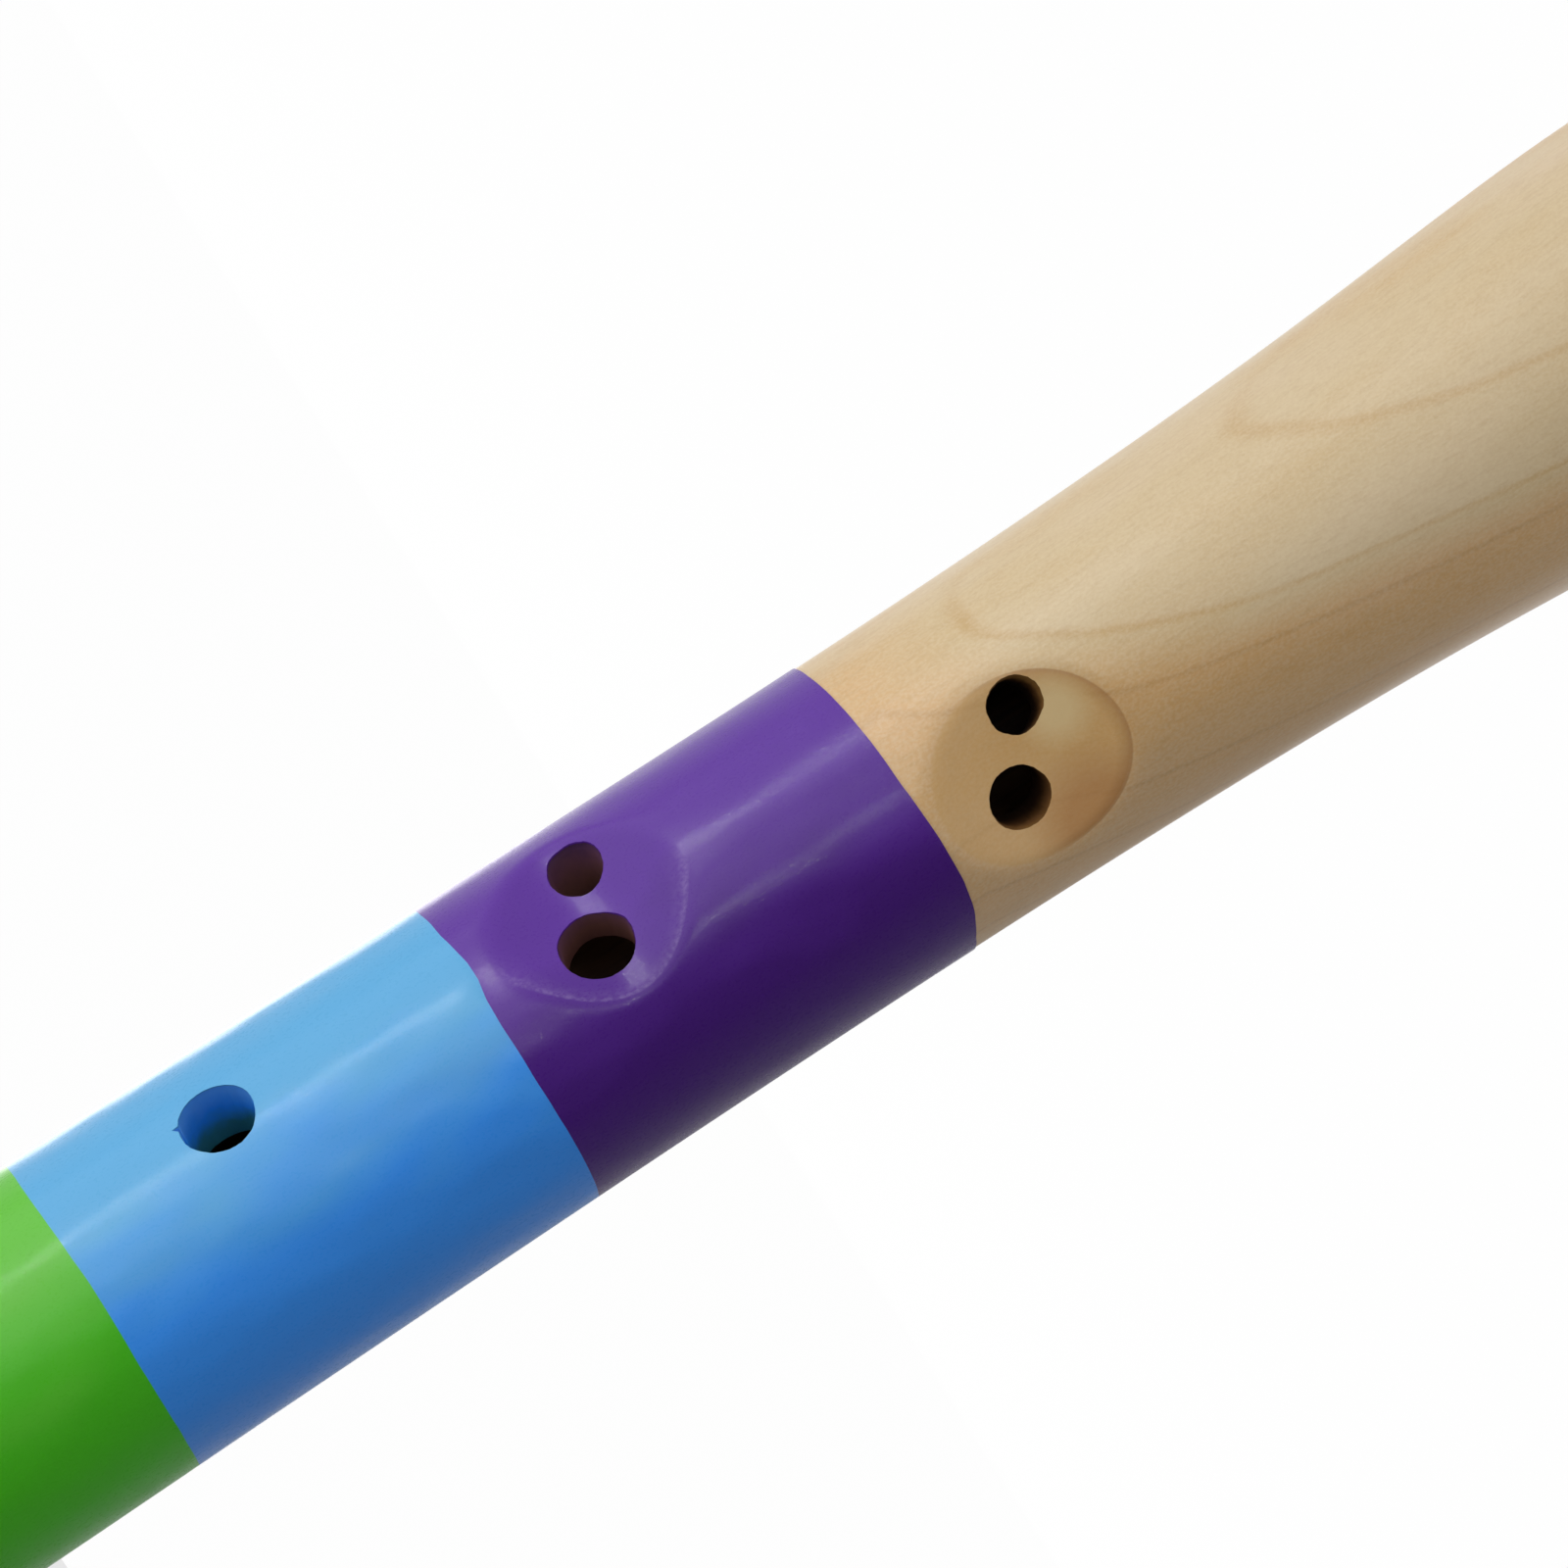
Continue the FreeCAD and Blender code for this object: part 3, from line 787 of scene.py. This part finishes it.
def sprayed_lacquer(name, thin, shaded_colour, waviness):
    """Coloured lacquer sprayed on sanded maple and rubbed once: a soft broad shine, and
    a thin glossy skin over it with slow ripples, broken up by fine rubbing marks. Towards
    the player's right, away from the light, its colour turns deeper as painted shade."""
    material, tree = new_material(name)
    place = node(tree, "ShaderNodeTexCoord", {}).outputs["Object"]
    rightward = node(tree, "ShaderNodeVectorMath", {
        0: place, 1: facing(SHADED_SIDE_TURN) * SHADED_SIDE_GAIN / MM}, operation="DOT_PRODUCT").outputs["Value"]
    cloud = grain(tree, place, wide=5.0, long=12.0, seed=2.0)
    # Random clouds, and the deeper colour towards the player's right, which is painted shade
    clouds_and_shade = node(tree, "ShaderNodeMath", {0: cloud, 1: 0.5, 2: rightward}, operation="MULTIPLY_ADD")
    colours = node(tree, "ShaderNodeValToRGB", {"Fac": clouds_and_shade.outputs[0]}, stops=[
        (0.34, thin), (0.68, shaded_colour)])
    ripple = grain(tree, place, wide=3.5, long=7.0, detail=1.0, seed=1.0)
    speck = grain(tree, place, wide=0.18, long=0.28, seed=4.0)
    bump = node(tree, "ShaderNodeBump", {"Height": ripple, "Strength": waviness, "Distance": 0.0003})
    skin = node(tree, "ShaderNodeBump", {
        "Height": speck, "Strength": 0.5, "Distance": 0.00003, "Normal": bump.outputs[0]})
    rough = node(tree, "ShaderNodeMapRange", {
        "Value": speck, "From Min": 0.35, "From Max": 0.75, "To Min": 0.26, "To Max": 0.36})
    # The base colour carries a painted highlight along the rims of the dishes
    shader = node(tree, "ShaderNodeBsdfPrincipled", {
        "Base Color": rim_highlight(tree, place, rightward, colours.outputs[0]),
        "Roughness": rough.outputs[0], "IOR": 1.3, "Normal": bump.outputs[0],
        "Coat Weight": 0.18, "Coat Roughness": 0.05, "Coat IOR": 1.45, "Coat Normal": skin.outputs[0]})
    node(tree, "ShaderNodeOutputMaterial", {"Surface": shader.outputs[0]})
    return material


def planed_cedar(name):
    """Cedar planed and left bare for the block: warm, straight-grained and matt."""
    material, tree = new_material(name)
    place = node(tree, "ShaderNodeTexCoord", {}).outputs["Object"]
    lines = grain(tree, place, wide=0.7, long=40.0, detail=3.0, seed=2.0)
    wood = node(tree, "ShaderNodeValToRGB", {"Fac": lines}, stops=[
        (0.3, "#c9996b"), (0.55, "#b27d50"), (0.8, "#8f5c38")])
    shader = node(tree, "ShaderNodeBsdfPrincipled", {"Base Color": wood.outputs[0], "Roughness": 0.62})
    node(tree, "ShaderNodeOutputMaterial", {"Surface": shader.outputs[0]})
    return material


def greased_cork(name):
    """Cork sheet glued round the tenon and greased: tan, with pale grains and dark pits."""
    material, tree = new_material(name)
    place = node(tree, "ShaderNodeTexCoord", {}).outputs["Object"]
    grains = node(tree, "ShaderNodeTexVoronoi", {"Vector": place, "Scale": 1 / (1.1 * MM)})
    tan = node(tree, "ShaderNodeValToRGB", {"Fac": grains.outputs["Distance"]}, stops=[
        (0.1, "#c79d6d"), (0.5, "#b48a5c"), (0.9, "#94683f")])
    pits = node(tree, "ShaderNodeMapRange", {
        "Value": grain(tree, place, wide=0.5, long=0.8), "From Min": 0.62, "From Max": 0.72,
        "To Min": 0.0, "To Max": 0.8})
    pitted = node(tree, "ShaderNodeMix", {
        0: pits.outputs[0], 6: tan.outputs[0], 7: linear("#5a3b22")}, data_type="RGBA")
    shader = node(tree, "ShaderNodeBsdfPrincipled", {"Base Color": pitted.outputs[2], "Roughness": 0.7})
    node(tree, "ShaderNodeOutputMaterial", {"Surface": shader.outputs[0]})
    return material


def set_camera():
    """Camera whose picture has its point at AIM_HEIGHT on the axis at AIM_PIXEL."""
    level = math.cos(PITCH)
    seen_axis = Vector((level * math.cos(ROLL), -level * math.sin(ROLL), math.sin(PITCH)))
    seen_side = Vector((math.sin(ROLL), math.cos(ROLL), 0.0))
    seen = Matrix((seen_axis, seen_side, -seen_axis.cross(seen_side))).transposed()
    real = Matrix((Vector((0, 0, -1)), across(TURN), facing(TURN))).transposed()
    turn = real @ seen.transposed()
    right = (AIM_PIXEL[0] - IMAGE_PIXELS / 2) / FOCAL_PIXELS
    down = (AIM_PIXEL[1] - IMAGE_PIXELS / 2) / FOCAL_PIXELS
    place = Vector((0.0, 0.0, AIM_HEIGHT)) - turn @ Vector((right, down, 1.0)) * AIM_DEPTH
    data = bpy.data.cameras.new("camera")
    data.sensor_width = SENSOR_WIDTH
    data.lens = FOCAL_PIXELS / IMAGE_PIXELS * SENSOR_WIDTH
    data.clip_start = CLIP_START
    camera = bpy.data.objects.new("camera", data)
    bpy.context.scene.collection.objects.link(camera)
    flip = Matrix(((1, 0, 0), (0, -1, 0), (0, 0, -1)))
    camera.matrix_world = Matrix.Translation(place * MM) @ (turn @ flip).to_4x4()
    bpy.context.scene.camera = camera


def soft_light(name, around, distance, width, height, power):
    """Upright soft light facing the recorder, placed by its turn around the axis
    from the camera's side. The camera doesn't see it."""
    data = bpy.data.lights.new(name, "AREA")
    data.shape = "RECTANGLE"
    data.size = width
    data.size_y = height
    data.energy = power
    lamp = bpy.data.objects.new(name, data)
    bpy.context.scene.collection.objects.link(lamp)
    direction = facing(TURN + around)
    lamp.location = direction * distance + Vector((0, 0, LAMP_FOOT + height / 2))
    lamp.rotation_euler = direction.to_track_quat("Z", "Y").to_euler()
    lamp.visible_camera = False


def seen_share(tree):
    """1 for what the camera sees, itself, in a reflection or through glass, and 0 for
    what lights the recorder."""
    path = node(tree, "ShaderNodeLightPath", {})
    seen = path.outputs["Is Camera Ray"]
    for ray in ("Is Glossy Ray", "Is Transmission Ray"):
        seen = node(tree, "ShaderNodeMath", {0: seen, 1: path.outputs[ray]}, operation="MAXIMUM").outputs[0]
    return seen


def white_paper(name):
    """White paper of the floor. The camera and reflections see it nearly white, and the
    rest of what they see is its own lit colour, which keeps the shadow."""
    material, tree = new_material(name)
    share = node(tree, "ShaderNodeMath", {0: seen_share(tree), 1: FLOOR_WHITE}, operation="MULTIPLY")
    paper = node(tree, "ShaderNodeBsdfDiffuse", {"Color": linear("#e6e6e6")})
    white = node(tree, "ShaderNodeEmission", {"Strength": 1.0})
    shader = node(tree, "ShaderNodeMixShader", {
        0: share.outputs[0], 1: paper.outputs[0], 2: white.outputs[0]})
    node(tree, "ShaderNodeOutputMaterial", {"Surface": shader.outputs[0]})
    return material


def lay_floor():
    """Plain white floor, wide enough to fill every view."""
    bpy.ops.object.select_all(action="DESELECT")
    bpy.ops.mesh.primitive_plane_add(size=FLOOR_SIZE)
    floor = bpy.context.object
    floor.name = "floor"
    dress(floor, white_paper("white_paper"))


def black_felt(name, sideways):
    """Felt of the card, black at the camera's end and grey at its far end. Sideways is
    the direction along its width."""
    material, tree = new_material(name)
    place = node(tree, "ShaderNodeTexCoord", {}).outputs["Object"]
    along = node(tree, "ShaderNodeVectorMath", {0: place, 1: sideways}, operation="DOT_PRODUCT")
    share = node(tree, "ShaderNodeMapRange", {
        "Value": along.outputs["Value"], "From Min": CARD_BLACK, "From Max": CARD_GREY,
        "To Min": 0.0, "To Max": 1.0})
    greys = node(tree, "ShaderNodeValToRGB", {"Fac": share.outputs[0]}, stops=[
        (0.0, "#1a1a1a"), (1.0, "#cccccc")])
    felt = node(tree, "ShaderNodeBsdfDiffuse", {"Color": greys.outputs[0]})
    node(tree, "ShaderNodeOutputMaterial", {"Surface": felt.outputs[0]})
    return material


def stand_black_card():
    """Card at the camera's right that keeps the shine on the shaded side dark. Only
    reflections see it."""
    direction = facing(TURN + 90)
    bpy.ops.object.select_all(action="DESELECT")
    bpy.ops.mesh.primitive_plane_add(size=1.0)
    card = bpy.context.object
    card.name = "black_card"
    card.scale = (CARD_WIDTH, CARD_HEIGHT, 1.0)
    card.location = direction * CARD_DISTANCE + Vector((0, 0, CARD_MIDDLE))
    card.rotation_euler = direction.to_track_quat("Z", "Y").to_euler()
    bpy.ops.object.transform_apply(location=True, rotation=True, scale=True)
    dress(card, black_felt("black_card", across(TURN + 90)))
    card.visible_camera = False
    card.visible_diffuse = False
    card.visible_shadow = False


def light_room():
    """White room that the camera sees as white and the recorder gets a little light from."""
    world = bpy.data.worlds.new("studio")
    bpy.context.scene.world = world
    world.use_nodes = True
    tree = world.node_tree
    tree.nodes.clear()
    seen = seen_share(tree)
    room = node(tree, "ShaderNodeBackground", {"Strength": ROOM_LIGHT})
    white = node(tree, "ShaderNodeBackground", {"Strength": 1.0})
    mixed = node(tree, "ShaderNodeMixShader", {0: seen, 1: room.outputs[0], 2: white.outputs[0]})
    node(tree, "ShaderNodeOutputWorld", {"Surface": mixed.outputs[0]})


set_camera()

maple = turned_maple("turned_maple", 0.0)
head_maple = turned_maple("head_maple", HEAD_BORE_RADIUS)
lacquers = {colour: sprayed_lacquer(*look) for colour, look in LACQUERS.items()}
walls = {colour: hole_wall("wall_" + colour, *look) for colour, look in WALLS.items()}

body = make_body(maple, oil_and_shade_bore("oil_and_shade_bore"), walls)
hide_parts("body_joint")
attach(body, "body")

for band, colour in enumerate(BANDS):
    coat = make_coat(band)
    dress(coat, lacquers[colour])
    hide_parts("lacquer_" + colour)
    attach(coat, "body")

finishes = {
    "head_joint": head_maple,
    "block": planed_cedar("planed_cedar"),
    "tenon_cork": greased_cork("greased_cork"),
}
for name, material in finishes.items():
    for material_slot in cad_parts[name].material_slots:
        material_slot.material = material

for lamp in LAMPS:
    soft_light(*lamp)
lay_floor()
stand_black_card()
light_room()
bpy.context.scene.view_settings.view_transform = "Standard"
